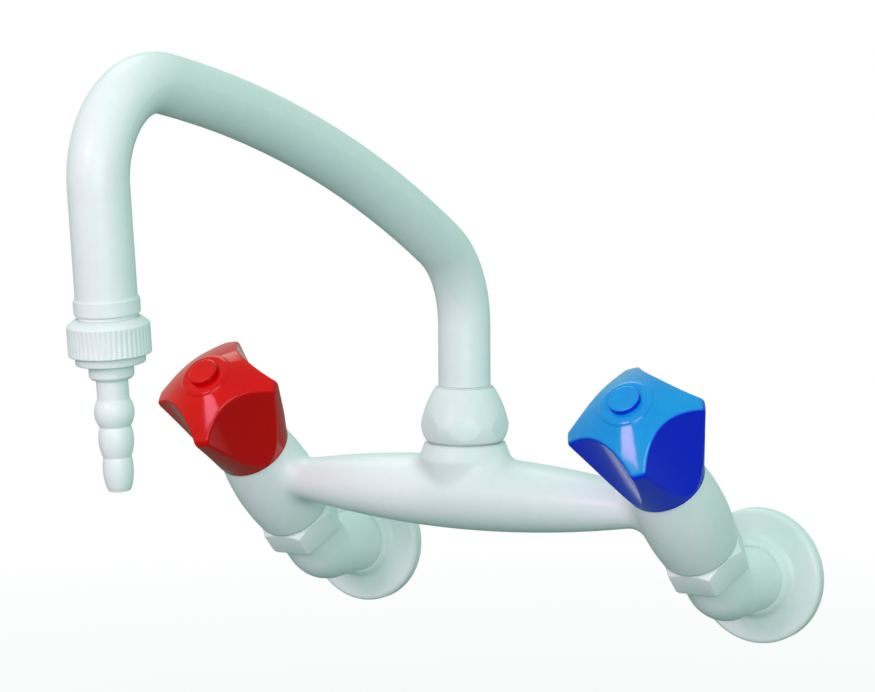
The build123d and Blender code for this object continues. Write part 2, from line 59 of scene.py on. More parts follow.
MM = 0.001  # metres in a millimetre
NODE_STEP = 200  # distance between two nodes in the node editor
RING_POINTS = 96  # points round a turned piece
FLOAT = "NodeSocketFloat"
VECTOR = "NodeSocketVector"
WHITE_LIGHT = (1.0, 1.0, 1.0, 1.0)
Pair = tuple[float, float]
Triple = tuple[float, float, float]
Screen = tuple[int, int, int]
Socket = bpy.types.NodeSocket
Given = bpy.types.NodeOutputs
Results = dict[str, Socket]
Surface = tuple[Socket, Socket]  # a mask of roughness and a height


class Side(Enum):
    """One of the tap's two water sides, with its sign along X."""

    HOT = -1
    COLD = 1

    @property
    def word(self) -> str:
        """The side's name as the solids' names begin."""
        return self.name.lower()


class Slot(Enum):
    """The record's material slots."""

    WHITE = "white_coating"
    RED = "red_plastic"
    BLUE = "blue_plastic"
    BRASS = "brass"
    STEEL = "steel"
    RUBBER = "rubber"
    FIBRE = "fibre"
    SLIP = "slip_plastic"


def linear(red: int, green: int, blue: int) -> tuple[float, float, float, float]:
    """Turns a screen colour into Blender's linear colour.

    Args:
        red: Red, 0 to 255.
        green: Green, 0 to 255.
        blue: Blue, 0 to 255.

    Returns:
        Red, green, blue and an alpha of 1.
    """
    parts = []
    for value in (red, green, blue):
        share = value / 255
        parts.append(share / 12.92 if share <= 0.04045 else ((share + 0.055) / 1.055) ** 2.4)
    return (parts[0], parts[1], parts[2], 1.0)


class Wiring:
    """Adds nodes to one shader tree and joins their sockets."""

    def __init__(self, tree: bpy.types.NodeTree) -> None:
        """Keeps the tree.

        Args:
            tree: The node tree to work in.
        """
        self.tree = tree
        self.column = 0

    @classmethod
    def anew(cls, owner: bpy.types.Material | bpy.types.World) -> Wiring:
        """Empties the node tree of a material or a world, and returns its wiring."""
        owner.use_nodes = True
        owner.node_tree.nodes.clear()
        return cls(owner.node_tree)

    def add(
        self, kind: str, values: dict[str | int, object] | None = None, **settings: object
    ) -> bpy.types.Node:
        """Adds a node.

        Args:
            kind: The node's type name.
            values: Sockets or plain values for its inputs, by name or number.
            **settings: Its own settings.

        Returns:
            The new node.
        """
        node = self.tree.nodes.new(kind)
        node.location = (self.column * NODE_STEP, 0)
        self.column += 1
        for name, value in settings.items():
            setattr(node, name, value)
        for name, value in (values or {}).items():
            self.feed(value, node.inputs[name])
        return node

    def feed(self, value: object, target: Socket) -> None:
        """Links an output to an input, or sets the input to a plain value."""
        if isinstance(value, Socket):
            self.tree.links.new(value, target)
        else:
            target.default_value = value

    def math(
        self, operation: str, first: object, second: object = 0.0, clamp: bool = False
    ) -> Socket:
        """Adds a Math node.

        Args:
            operation: The node's operation.
            first: A socket or a number.
            second: A socket or a number.
            clamp: Whether the result stays between 0 and 1.

        Returns:
            Its output.
        """
        terms = {0: first, 1: second}
        node = self.add("ShaderNodeMath", terms, operation=operation, use_clamp=clamp)
        return node.outputs[0]

    def dot(self, first: Socket, second: Socket) -> Socket:
        """Compares two directions: 1 where they agree, 0 where they stand square."""
        node = self.add("ShaderNodeVectorMath", {0: first, 1: second}, operation="DOT_PRODUCT")
        return node.outputs["Value"]

    def stretch(self, value: Socket, low: object, high: object) -> Socket:
        """Spreads the values between two levels over 0 to 1.

        Args:
            value: The socket that gives the values.
            low: The level that becomes 0, a socket or a number.
            high: The level that becomes 1, a socket or a number.

        Returns:
            The spread values.
        """
        levels = {"Value": value, "From Min": low, "From Max": high}
        node = self.add("ShaderNodeMapRange", levels, interpolation_type="SMOOTHSTEP")
        return node.outputs["Result"]

    def noise(self, vector: Socket, size: object, detail: float) -> Socket:
        """Adds a noise texture.

        Args:
            vector: Where it reads its place.
            size: The size of its lumps in millimetres, a socket or a number.
            detail: How many finer layers it has.

        Returns:
            Its values.
        """
        lumps = {"Vector": vector, "Scale": self.math("DIVIDE", 1 / MM, size), "Detail": detail}
        return self.add("ShaderNodeTexNoise", lumps).outputs["Fac"]

    def seen(self) -> Socket:
        """Gives 1 for what the camera sees, also through clear pieces, and 0 for other light."""
        path = self.add("ShaderNodeLightPath")
        through = path.outputs["Is Transmission Ray"]
        return self.math("MAXIMUM", path.outputs["Is Camera Ray"], through)

    def mix(self, share: Socket, first: Socket, second: Socket) -> Socket:
        """Mixes two shaders.

        Args:
            share: The share of the second one.
            first: The first shader.
            second: The second shader.

        Returns:
            The mixed shader.
        """
        node = self.add("ShaderNodeMixShader", {0: share, 1: first, 2: second})
        return node.outputs["Shader"]


class EffectGroup:
    """A shader node group with named inputs and outputs, built once.

    Attributes:
        title: The group's name.
        inputs: The kind of each input, by name.
        outputs: The kind of each output, by name.
    """

    title = "effect"
    inputs: dict[str, str] = {}
    outputs: dict[str, str] = {"Mask": FLOAT}

    def __init__(self) -> None:
        """Makes the group's tree, its sockets and its nodes."""
        self.tree = bpy.data.node_groups.new(self.title, "ShaderNodeTree")
        for side, sockets in (("INPUT", self.inputs), ("OUTPUT", self.outputs)):
            for name, kind in sockets.items():
                self.tree.interface.new_socket(name=name, in_out=side, socket_type=kind)
        wiring = Wiring(self.tree)
        given = wiring.add("NodeGroupInput").outputs
        wiring.add("NodeGroupOutput", self.build(wiring, given))

    def build(self, w: Wiring, given: Given) -> Results:
        """Adds the group's nodes.

        Args:
            w: The group's wiring.
            given: What comes in, by the inputs' names.

        Returns:
            What goes out, by the outputs' names.
        """
        raise NotImplementedError

    def place(self, wiring: Wiring, *values: object) -> bpy.types.NodeOutputs:
        """Puts the group in a material.

        Args:
            wiring: The material's wiring.
            *values: Sockets or numbers for its inputs, in their order.

        Returns:
            The outputs of the group's node.
        """
        node = wiring.add("ShaderNodeGroup", node_tree=self.tree)
        for socket, value in zip(node.inputs, values, strict=True):
            wiring.feed(value, socket)
        return node.outputs


class OrangePeel(EffectGroup):
    """The faint waviness of a stoved coating, with fine grains in it."""

    title = "coating_orange_peel"
    inputs = {"Vector": VECTOR, "Wave Size": FLOAT, "Grain Size": FLOAT, "Grain Share": FLOAT}
    outputs = {"Height": FLOAT}

    def build(self, w: Wiring, given: Given) -> Results:
        """Adds the waves and the grains."""
        wave = w.noise(given["Vector"], given["Wave Size"], 1.0)
        grain = w.noise(given["Vector"], given["Grain Size"], 0.0)
        grain = w.math("MULTIPLY", grain, given["Grain Share"])
        return {"Height": w.math("ADD", wave, grain)}


class Mottle(EffectGroup):
    """Slow changes of shade over a surface."""

    title = "shade_mottle"
    inputs = {"Vector": VECTOR, "Patch Size": FLOAT, "Fleck Size": FLOAT}
    # each layer's size, detail, lowest and highest level, and share
    layers = (("Patch Size", 2.0, 0.3, 0.7, 0.7), ("Fleck Size", 3.0, 0.35, 0.65, 0.3))

    def build(self, w: Wiring, given: Given) -> Results:
        """Mixes large patches and small flecks."""
        parts = []
        for size, detail, low, high, share in self.layers:
            lumps = w.stretch(w.noise(given["Vector"], given[size], detail), low, high)
            parts.append(w.math("MULTIPLY", lumps, share))
        return {"Mask": w.math("ADD", *parts)}


class EdgeWear(EffectGroup):
    """Where a finish is thin or rubbed along edges."""

    title = "edge_wear"
    inputs = {"Vector": VECTOR, "Reach": FLOAT, "Break Size": FLOAT, "Amount": FLOAT}
    outputs = {"Mask": FLOAT, "Normal": VECTOR}
    samples = 4
    bends = (0.01, 0.14)  # where the wear begins and where it is full
    breaks = (0.3, 0.6)  # the noise levels on both sides of a break

    def build(self, w: Wiring, given: Given) -> Results:
        """Compares the surface's direction with its direction when its edges are rounded."""
        reach = {"Radius": w.math("MULTIPLY", given["Reach"], MM)}
        rounded = w.add("ShaderNodeBevel", reach, samples=self.samples).outputs["Normal"]
        agreement = w.dot(rounded, w.add("ShaderNodeNewGeometry").outputs["Normal"])
        edge = w.stretch(w.math("SUBTRACT", 1.0, agreement), *self.bends)
        lumps = w.noise(given["Vector"], given["Break Size"], 3.0)
        worn = w.math("MULTIPLY", edge, w.stretch(lumps, *self.breaks))
        worn = w.math("MULTIPLY", worn, given["Amount"], clamp=True)
        return {"Mask": worn, "Normal": rounded}


class HairScratches(EffectGroup):
    """Short hairline scratches from wiping and handling."""

    title = "hair_scratches"
    inputs = {"Vector": VECTOR, "Spacing": FLOAT, "Amount": FLOAT}
    turns = (0.5, 2.1)  # how far each set is turned, in radians
    squeeze = (1.0, 0.07, 0.3)
    lump_share = 0.12  # the noise's size as a share of the spacing
    width = 0.012  # a scratch's width, as a level of the noise
    patches = (0.5, 0.66)  # the noise levels between which scratches fade in

    def build(self, w: Wiring, given: Given) -> Results:
        """Thins a long, narrow noise down to lines and breaks them up."""
        lines = []
        for turn in self.turns:
            drawn = {"Rotation": (turn, turn / 2, turn), "Scale": self.squeeze}
            mapping = w.add("ShaderNodeMapping", {"Vector": given["Vector"], **drawn})
            size = w.math("MULTIPLY", given["Spacing"], self.lump_share)
            value = w.noise(mapping.outputs["Vector"], size, 2.0)
            ridge = w.math("ABSOLUTE", w.math("SUBTRACT", value, 0.5))
            lines.append(w.math("SUBTRACT", 1.0, w.stretch(ridge, 0.0, self.width)))
        patches = w.stretch(w.noise(given["Vector"], given["Spacing"], 1.0), *self.patches)
        mask = w.math("MULTIPLY", w.math("MAXIMUM", *lines), patches)
        return {"Mask": w.math("MULTIPLY", mask, given["Amount"], clamp=True)}


class TurningMarks(EffectGroup):
    """Rings that a lathe tool leaves across its axis, which is Z of the vector."""

    title = "turning_marks"
    inputs = {"Vector": VECTOR, "Pitch": FLOAT}
    outputs = {"Height": FLOAT, "Mask": FLOAT}
    band_period = 0.31  # the texture's own distance between bands
    wander = {"Distortion": 0.6, "Detail": 2.0, "Detail Scale": 2.0}
    smear = (0.05, 0.05, 1.0)
    tarnish_size = 1.6

    def build(self, w: Wiring, given: Given) -> Results:
        """Adds a fine band pattern and a slower change of its shade."""
        place = given["Vector"]
        scale = w.math("DIVIDE", self.band_period / MM, given["Pitch"])
        bands = {"Vector": place, "Scale": scale, **self.wander}
        wave = w.add("ShaderNodeTexWave", bands, bands_direction="Z")
        mapping = w.add("ShaderNodeMapping", {"Vector": place, "Scale": self.smear})
        tarnish = w.noise(mapping.outputs["Vector"], self.tarnish_size, 3.0)
        return {"Height": wave.outputs["Fac"], "Mask": tarnish}


# mask for the knobs' painted shade: faces turned away from the axis get the darker colour
class CrownFacing(EffectGroup):
    """How far a surface faces along an axis, from 0 beside it to 1 on the crown."""

    title = "crown_facing"
    inputs = {"Axis": VECTOR, "Low": FLOAT, "High": FLOAT}

    def build(self, w: Wiring, given: Given) -> Results:
        """Compares the surface's own direction with the axis."""
        agreement = w.dot(w.add("ShaderNodeTexCoord").outputs["Normal"], given["Axis"])
        return {"Mask": w.stretch(agreement, given["Low"], given["High"])}


@dataclass
class Effects:
    """The shared effects, each built once."""

    peel: OrangePeel = field(default_factory=OrangePeel)
    mottle: Mottle = field(default_factory=Mottle)
    edges: EdgeWear = field(default_factory=EdgeWear)
    scratches: HairScratches = field(default_factory=HairScratches)
    turning: TurningMarks = field(default_factory=TurningMarks)
    facing: CrownFacing = field(default_factory=CrownFacing)


@dataclass(frozen=True)
class Finish:
    """A finish as a maker would name it, which becomes one material.

    Attributes:
        title: The material's name.
        colour: Its usual colour.
        shade: The colour of its darker patches.
        edge: Its colour where it is thin or rubbed.
        roughness: Its smoothest and roughest value.
        sizes: Values for the Principled shader that are the same all over.
        patches: The size of its patches and of the flecks in them, in millimetres.
        wear: How far its worn edges reach and how large their breaks are, both in
            millimetres, and how strong the wear is.
        depth: How deep its relief is, in millimetres.
        skin: Whether it covers sharp edges with a rounded skin.
    """

    title: str
    colour: Screen
    shade: Screen
    edge: Screen
    roughness: Pair
    sizes: dict[str, float] = field(default_factory=dict)
    patches: Pair = (40.0, 5.0)
    wear: Triple = (0.5, 4.0, 1.0)
    depth: float = 0.01
    skin: bool = False

    def blend(self, w: Wiring, mask: Socket, first: object, second: object) -> Socket:
        """Mixes two colours.

        Args:
            w: The material's wiring.
            mask: The share of the second colour.
            first: A screen colour or a socket.
            second: A screen colour or a socket.

        Returns:
            The mixed colour.
        """
        node = w.add("ShaderNodeMix", {"Factor": mask}, data_type="RGBA")
        for name, value in (("A", first), ("B", second)):
            socket = [s for s in node.inputs if s.name == name and s.type == "RGBA"][0]
            w.feed(value if isinstance(value, Socket) else linear(*value), socket)
        return [s for s in node.outputs if s.type == "RGBA"][0]

    def paint_facing_light(self, w: Wiring, effects: Effects, colour: Socket) -> Socket:
        """Paints light and shade into the patched colour before the edges are worn.

        Args:
            w: The material's wiring.
            effects: The shared effects.
            colour: The patched colour.

        Returns:
            The colour itself, for a finish with no painted light or shade.
        """
        return colour

    def surface(self, w: Wiring, effects: Effects, place: Socket, mottle: Socket) -> Surface:
        """Adds what makes the finish rough and uneven.

        Args:
            w: The material's wiring.
            effects: The shared effects.
            place: The object coordinates.
            mottle: Where its patches lie.

        Returns:
            The mask of its roughness and the height of its relief.
        """
        raise NotImplementedError

    def material(self, effects: Effects) -> bpy.types.Material:
        """Builds the material from its patches, its worn edges and its surface.

        Args:
            effects: The shared effects.

        Returns:
            The material.
        """
        material = bpy.data.materials.new(self.title)
        w = Wiring.anew(material)
        place = w.add("ShaderNodeTexCoord").outputs["Object"]
        mottle = effects.mottle.place(w, place, *self.patches)["Mask"]
        edges = effects.edges.place(w, place, *self.wear)
        # painted shade on the knobs' sides; the other finishes keep the patched colour
        colour = self.paint_facing_light(w, effects, self.blend(w, mottle, self.colour, self.shade))
        rough, height = self.surface(w, effects, place, mottle)
        low, high = self.roughness
        relief = {"Strength": 1.0, "Distance": self.depth * MM, "Height": height}
        if self.skin:
            relief["Normal"] = edges["Normal"]
        looks = {
            **self.sizes,
            "Base Color": self.blend(w, edges["Mask"], colour, self.edge),
            "Roughness": w.math("ADD", w.math("MULTIPLY", rough, high - low), low),
            "Normal": w.add("ShaderNodeBump", relief).outputs["Normal"],
        }
        shader = w.add("ShaderNodeBsdfPrincipled", looks)
        w.add("ShaderNodeOutputMaterial", {"Surface": shader.outputs["BSDF"]})
        return material


@dataclass(frozen=True)
class ShinySkin(Finish):
    """A smooth skin with hairline scratches and a faint waviness.

    Attributes:
        patch_share: How much its patches roughen it.
        scratches: The spacing of its scratches, in millimetres, and their strength.
        peel: The size of its waves and of their grains, in millimetres, and the grains' share.
    """

    skin: bool = True
    patch_share: float = 0.6
    scratches: Pair = (16.0, 0.5)
    peel: Triple = (2.6, 0.4, 0.12)

    def surface(self, w: Wiring, effects: Effects, place: Socket, mottle: Socket) -> Surface:
        """Adds fine scratches and orange peel."""
        hairs = effects.scratches.place(w, place, *self.scratches)
        peel = effects.peel.place(w, place, *self.peel)
        rough = w.math("MAXIMUM", w.math("MULTIPLY", mottle, self.patch_share), hairs["Mask"])
        return rough, peel["Height"]


@dataclass(frozen=True)
class StovedCoating(ShinySkin):
    """White coating with a soft gloss, stoved on metal."""

    patches: Pair = (45.0, 4.0)
    wear: Triple = (0.5, 6.0, 0.6)
    depth: float = 0.012


@dataclass(frozen=True)
class MouldedPlastic(ShinySkin):
    """Glossy moulded plastic with faint flow marks, rubbed edges and painted shade on its sides.

    Attributes:
        painted_shade: The colour painted on faces that turn away from the axis, as shade where less
            light falls.
        axis: The knob's axis, towards its crown.
        crown: How far a face looks along the axis where the painted shade ends and the crown's
            lighter colour begins.
    """

    patches: Pair = (22.0, 2.5)
    wear: Triple = (0.7, 3.0, 0.5)
    depth: float = 0.02
    patch_share: float = 0.5
    scratches: Pair = (8.0, 0.7)
    peel: Triple = (4.5, 0.3, 0.1)
    # painted shade: the darker colour the knob's sides take where less light falls
    painted_shade: Screen = (0, 0, 0)
    axis: Triple = (0.0, -math.sqrt(0.5), math.sqrt(0.5))
    crown: Pair = (0.25, 0.8)

    def paint_facing_light(self, w: Wiring, effects: Effects, colour: Socket) -> Socket:
        """Paints shade on faces that turn away from the knob's axis, and leaves the crown lighter.
        """
        facing = effects.facing.place(w, self.axis, *self.crown)
        return self.blend(w, facing["Mask"], self.painted_shade, colour)


@dataclass(frozen=True)
class TurnedMetal(Finish):
    """Bare metal with turning marks across its axis.

    Attributes:
        tilt: How far the axis leans from upright, in degrees.
        pitch: How far apart the marks lie, in millimetres.
    """

    sizes: dict[str, float] = field(default_factory=lambda: {"Metallic": 1.0})
    patches: Pair = (9.0, 1.2)
    wear: Triple = (0.25, 1.5, 0.8)
    tilt: float = 45.0
    pitch: float = 0.25

    def surface(self, w: Wiring, effects: Effects, place: Socket, mottle: Socket) -> Surface:
        """Adds turning marks and tarnish."""
        turned = {"Vector": place, "Rotation": (math.radians(self.tilt), 0.0, 0.0)}
        mapping = w.add("ShaderNodeMapping", turned)
        marks = effects.turning.place(w, mapping.outputs["Vector"], self.pitch)
        return marks["Mask"], marks["Height"]


@dataclass(frozen=True)
class SoftSeal(Finish):
    """Rubber or pressed fibre, matt and finely grained, with a bloom of paler patches.

    Attributes:
        grain: The size of its waves and of their grains, in millimetres, and the grains' share.
    """

    patches: Pair = (6.0, 0.8)
    wear: Triple = (0.2, 1.0, 0.6)
    depth: float = 0.03
    grain: Triple = (1.2, 0.4, 0.8)

    def surface(self, w: Wiring, effects: Effects, place: Socket, mottle: Socket) -> Surface:
        """Adds the grain."""
        return mottle, effects.peel.place(w, place, *self.grain)["Height"]


@dataclass
class FinishBook:
    """The tap's materials by slot, built from its finishes."""

    effects: Effects = field(default_factory=Effects)
    white: StovedCoating = StovedCoating(
        "white_stoved_coating",
        (231, 238, 240),
        (225, 234, 235),
        (238, 242, 241),
        (0.34, 0.5),
        {"Coat Weight": 0.1, "Coat Roughness": 0.22, "Specular IOR Level": 0.34},
    )
    casting: StovedCoating = replace(white, title="white_stoved_casting", wear=(2.6, 6.0, 0.6))
    red: MouldedPlastic = MouldedPlastic(
        "red_moulded_plastic",
        (216, 0, 2),
        (203, 0, 3),
        (228, 6, 22),
        (0.1, 0.2),
        {"Specular IOR Level": 0.24},
        # painted shade: the darker red of the knob's sides, where less light falls
        painted_shade=(196, 0, 1),
    )
    blue: MouldedPlastic = MouldedPlastic(
        "blue_moulded_plastic",
        # the crown's azure, lighter than the sides as painted light
        (2, 148, 218),
        (2, 134, 214),
        (38, 168, 230),
        (0.1, 0.2),
        {"Specular IOR Level": 0.4},
        # painted shade: the deep blue of the knob's sides, where less light falls
        painted_shade=(0, 28, 220),
    )
    brass: TurnedMetal = TurnedMetal(
        "turned_brass", (196, 158, 84), (170, 132, 66), (226, 194, 122), (0.22, 0.42)
    )
    steel: TurnedMetal = TurnedMetal(
        "bright_steel", (196, 198, 200), (168, 171, 175), (226, 228, 230), (0.2, 0.4), pitch=0.18
    )
    rubber: SoftSeal = SoftSeal(
        "black_seal_rubber", (30, 31, 33), (44, 45, 47), (60, 61, 63), (0.55, 0.75)
    )
    fibre: SoftSeal = SoftSeal(
        "pressed_fibre",
        (146, 62, 44),
        (122, 48, 36),
        (176, 96, 74),
        (0.75, 0.92),
        patches=(6.0, 1.0),
        depth=0.06,
        grain=(1.5, 0.5, 0.8),
    )
    slip: SoftSeal = SoftSeal(
        "slip_ring_plastic", (226, 224, 214), (214, 212, 200), (236, 234, 226), (0.35, 0.5)
    )
    made: dict[Slot, bpy.types.Material] = field(default_factory=dict)

    def build(self) -> None:
        """Makes every slot's material, from the finish that has the slot's name."""
        for slot in Slot:
            finish: Finish = getattr(self, slot.name.lower())
            self.made[slot] = finish.material(self.effects)
            log.info("finish %s for slot %s", finish.title, slot.value)

    def dress_casting(self, piece: bpy.types.Object) -> None:
        """Gives the cast body the white coating as it lies over a casting's soft junctions."""
        material = self.casting.material(self.effects)
        for place in piece.material_slots:
            place.material = material

    def dress(self, piece: bpy.types.Object, slot: Slot) -> None:
        """Gives a piece or a solid its finish.

        Args:
            piece: A modelled piece or a solid's object.
            slot: The slot whose finish it takes.
        """
        if not piece.data.materials:
            piece.data.materials.append(self.made[slot])
        for place in piece.material_slots:
            place.material = self.made[slot]


class Bench:
    """Modelling steps that several pieces share, each done with Blender's own operators."""

    @staticmethod
    def clear() -> None:
        """Leaves edit mode and deselects everything."""
        if bpy.context.object is not None and bpy.context.object.mode != "OBJECT":
            bpy.ops.object.mode_set(mode="OBJECT")
        bpy.ops.object.select_all(action="DESELECT")

    @staticmethod
    def take(piece: bpy.types.Object) -> None:
        """Makes a piece the only selected one and the active one."""
        Bench.clear()
        piece.select_set(True)
        bpy.context.view_layer.objects.active = piece

    @staticmethod
    def grow_wall(name: str, profile: list[Pair], count: int = RING_POINTS) -> bpy.types.Object:
        """Starts from a circle, extrudes it along a profile round Z, and closes it on itself.

        Args:
            name: The piece's name.
            profile: Radius and height of each ring, in millimetres.
            count: How many points each ring has.

        Returns:
            The piece, in edit mode.
        """
        Bench.clear()
        radius, height = profile[0]
        bpy.ops.mesh.primitive_circle_add(
            vertices=count, radius=radius * MM, fill_type="NOTHING", location=(0, 0, height * MM)
        )
        piece = bpy.context.object
        piece.name = name
        piece.data.name = name
        bpy.ops.object.transform_apply(location=True, rotation=True, scale=True)
        bpy.ops.object.mode_set(mode="EDIT")
        bpy.ops.mesh.select_all(action="SELECT")
        for next_radius, next_height in profile[1:]:
            bpy.ops.mesh.extrude_region_move(
                TRANSFORM_OT_translate={"value": (0, 0, (next_height - height) * MM)}
            )
            share = next_radius / radius
            middle = (0, 0, next_height * MM)
            bpy.ops.transform.resize(value=(share, share, 1), center_override=middle)
            radius, height = next_radius, next_height
        Bench.join_ends(piece)
        return piece

    @staticmethod
    def join_ends(piece: bpy.types.Object) -> None:
        """Bridges the first ring and the last one of the wall that is in edit mode.

        Args:
            piece: The piece with the open wall.
        """
        bpy.ops.mesh.select_mode(type="EDGE")
        bpy.ops.mesh.select_all(action="DESELECT")
        mesh = bmesh.from_edit_mesh(piece.data)
        for edge in mesh.edges:
            if edge.is_boundary:
                edge.select_set(True)
        bmesh.update_edit_mesh(piece.data)
        bpy.ops.mesh.bridge_edge_loops()

    @staticmethod
    def pick_points(piece: bpy.types.Object, wanted: Callable[[Vector], bool]) -> None:
        """Selects the points that a test picks.

        Args:
            piece: The piece, in edit mode.
            wanted: A test that takes a point's place and says yes or no.
        """
        bpy.ops.mesh.select_mode(type="VERT")
        bpy.ops.mesh.select_all(action="DESELECT")
        mesh = bmesh.from_edit_mesh(piece.data)
        for point in mesh.verts:
            point.select_set(wanted(point.co))
        mesh.select_flush_mode()
        bmesh.update_edit_mesh(piece.data)

    @staticmethod
    def cut_flats(flats: float, turn: float, count: int = 6) -> None:
        """Cuts even flats round Z on the closed wall that is in edit mode.

        Args:
            flats: The distance across two opposite flats, in millimetres.
            turn: How far the first flat is turned from X, in degrees.
            count: How many flats there are.
        """
        for side in range(count):
            angle = math.radians(turn) + side * math.tau / count
            across = Vector((math.cos(angle), math.sin(angle), 0))
            bpy.ops.mesh.select_all(action="SELECT")
            bpy.ops.mesh.bisect(
                plane_co=across * (flats / 2 * MM), plane_no=across, use_fill=True, clear_outer=True
            )

    @staticmethod
    def soften(piece: bpy.types.Object, width: float, angle: float, steps: int = 3) -> None:
        """Rounds a piece's edges with a bevel, which is applied.

        Args:
            piece: The piece.
            width: How wide each round is, in millimetres.
            angle: How many degrees an edge turns at least to be rounded.
            steps: How many faces each round has.
        """
        Bench.take(piece)
        bevel = piece.modifiers.new("bevel", "BEVEL")
        bevel.limit_method = "ANGLE"
        bevel.angle_limit = math.radians(angle)
        bevel.use_clamp_overlap = False
        bevel.width = width * MM
        bevel.segments = steps
        bpy.ops.object.modifier_apply(modifier=bevel.name)

    @staticmethod
    def settle(piece: bpy.types.Object, place: Matrix, smooth_angle: float = 35.0) -> None:
        """Closes a piece, turns its faces outwards, and bakes its place into its mesh.

        Args:
            piece: The piece, drawn about the origin.
            place: Where it belongs.
            smooth_angle: Edges flatter than this many degrees look smooth.
        """
        Bench.take(piece)
        bpy.ops.object.mode_set(mode="EDIT")
        bpy.ops.mesh.select_all(action="SELECT")
        bpy.ops.mesh.remove_doubles(threshold=0.001 * MM)
        bpy.ops.mesh.normals_make_consistent(inside=False)
        bpy.ops.object.mode_set(mode="OBJECT")
        piece.matrix_world = place
        bpy.ops.object.transform_apply(location=True, rotation=True, scale=True)
        bpy.ops.object.shade_smooth_by_angle(angle=math.radians(smooth_angle))
        log.info("%s made, of %d faces", piece.name, len(piece.data.polygons))

    @staticmethod
    def arc(first: Pair, middle: Pair, last: Pair, steps: int) -> list[Pair]:
        """Divides the circle through three profile points into runs.

        Args:
            first: Its first radius and height.
            middle: A radius and height on the way.
            last: Its last radius and height.
            steps: How many runs it is divided into.

        Returns:
            The points after the first one.
        """
        (ax, ay), (bx, by), (cx, cy) = first, middle, last
        aa, bb, cc = (x**2 + y**2 for x, y in (first, middle, last))
        double = 2 * (ax * (by - cy) + bx * (cy - ay) + cx * (ay - by))
        ux = (aa * (by - cy) + bb * (cy - ay) + cc * (ay - by)) / double
        uy = (aa * (cx - bx) + bb * (ax - cx) + cc * (bx - ax)) / double
        radius = math.hypot(ax - ux, ay - uy)
        start, via, end = (math.atan2(y - uy, x - ux) for x, y in (first, middle, last))
        turn = (end - start) % math.tau
        if (via - start) % math.tau > turn:
            turn -= math.tau
        angles = [start + turn * step / steps for step in range(1, steps + 1)]
        return [(ux + radius * math.cos(a), uy + radius * math.sin(a)) for a in angles]


def node(name: str) -> bpy.types.Object:
    """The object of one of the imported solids."""
    return frame["nodes"][name]


@dataclass
class Layout:
    """Where the tap's axes lie."""

    inlet_spacing: float = 200.0
    projection: float = 81.0
    bridge_height: float = 42.0
    valve_slope: float = 45.0

    def on_valve(self, side: Side) -> Matrix:
        """The place of a piece drawn along a valve's axis.

        Args:
            side: Which valve.

        Returns:
            Its matrix.
        """
        across = side.value * self.inlet_spacing / 2
        centre = Vector((across, -self.projection, self.bridge_height)) * MM
        return Matrix.Translation(centre) @ Matrix.Rotation(math.radians(self.valve_slope), 4, "X")

    def on_swivel(self) -> Matrix:
        """The place of a piece drawn along the spout's swivel axis."""
        return Matrix.Translation(Vector((0, -self.projection, 0)) * MM)

    def on_outlet(self) -> Matrix:
        """The place of a piece drawn down from the ferrule's top, from the collar's joint."""
        joint = [j for j in frame["joints"] if j["child"] == "collar"][0]
        down = Vector(joint["axis"]).normalized()
        across = (Vector((1, 0, 0)) - down * down.x).normalized()
        turn = Matrix((across, down.cross(across), down)).transposed().to_4x4()
        return Matrix.Translation(Vector(joint["pos_m"])) @ turn


@dataclass
class BridgeBody:
    """The cast bridge with its two valve bodies, and the valves' hidden works."""

    book: FinishBook
    works: tuple[tuple[str, Slot], ...] = (
        ("bonnet", Slot.BRASS),
        ("bonnet_gasket", Slot.FIBRE),
        ("spindle", Slot.BRASS),
        ("spindle_seals", Slot.RUBBER),
        ("spindle_clip", Slot.STEEL),
        ("valve_plunger", Slot.BRASS),
        ("seat_washer", Slot.RUBBER),
    )

    def dress(self) -> None:
        """Finishes the body and both valves' works."""
        self.book.dress_casting(node("mixer_body"))
        for side in Side:
            for name, slot in self.works:
                self.book.dress(node(f"{side.word}_{name}"), slot)
        log.info("bridge body and %d pieces of valve works dressed", 2 * len(self.works))


@dataclass
class Inlet:
    """One inlet: the wall flange, the elbow, and the union with its nut."""

    book: FinishBook
    layout: Layout
    side: Side
    solids: tuple[tuple[str, Slot], ...] = (
        ("inlet_elbow", Slot.WHITE),
        ("wall_flange", Slot.WHITE),
        ("union_ring", Slot.STEEL),
        ("union_gasket", Slot.FIBRE),
    )
    nut_top: float = -27.0
    nut_length: float = 13.8
    nut_land: float = 3.0
    nut_flats: float = 32.0
    nut_turn: float = 30.0
    blank_radius: float = 18.6
    crown_width: float = 3.4
    crown_height: float = 2.55
    foot_chamfer: float = 1.0
    thread_radius: float = 14.1
    hole_radius: float = 10.8
    edge_round: float = 0.4
    edge_angle: float = 28.0

    def nut(self) -> None:
        """Turns the union nut's blank, cuts its six flats and softens its edges."""
        top, foot = self.nut_top, self.nut_top - self.nut_length
        shoulder = top - self.nut_land
        profile = [
            (self.thread_radius, foot),
            (self.blank_radius - self.foot_chamfer, foot),
            (self.blank_radius, foot + self.foot_chamfer),
            (self.blank_radius, top - self.crown_height),
            (self.blank_radius - self.crown_width, top),
            (self.hole_radius, top),
            (self.hole_radius, shoulder),
            (self.thread_radius, shoulder),
        ]
        nut = Bench.grow_wall(f"{self.side.word}_crowned_union_nut", profile)
        Bench.cut_flats(self.nut_flats, self.nut_turn)
        Bench.soften(nut, self.edge_round, self.edge_angle)
        Bench.settle(nut, self.layout.on_valve(self.side))
        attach(nut, "bridge")
        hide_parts(f"{self.side.word}_union_nut")
        self.book.dress(nut, Slot.WHITE)

    def dress(self) -> None:
        """Models the union nut and finishes the inlet's solids."""
        for name, slot in self.solids:
            self.book.dress(node(f"{self.side.word}_{name}"), slot)
        self.nut()
        log.info("%s inlet dressed", self.side.word)


